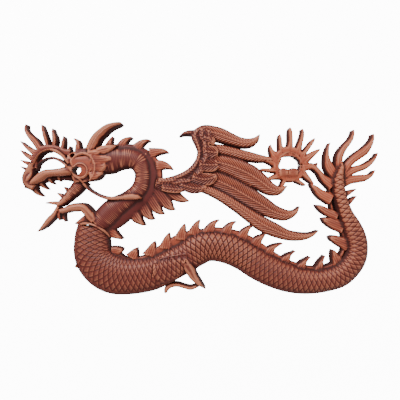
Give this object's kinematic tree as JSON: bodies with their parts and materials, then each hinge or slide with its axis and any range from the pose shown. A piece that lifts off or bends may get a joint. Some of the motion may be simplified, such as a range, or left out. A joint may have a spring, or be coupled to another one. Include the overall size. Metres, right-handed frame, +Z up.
{
  "type": "carved wall panel",
  "caption": "A carved and pierced wooden wall panel: a long dragon with a looped scaly body, a spread wing, a spiked back, a flaming ring and a flame-tipped tail.",
  "frame": {"origin": "the hanging place, on the flat back behind the root of the wing", "axes": "+X along the panel towards the tail, +Y out of the flat back into the wall, +Z up; the carving faces -Y"},
  "size_m": [0.6, 0.032, 0.2899],
  "materials": {
    "wood": "reddish-brown hardwood, satin varnish, rubbed lighter on the high edges"
  },
  "bodies": {
    "root": {"dragon_panel": "wood"}
  },
  "joints": []
}
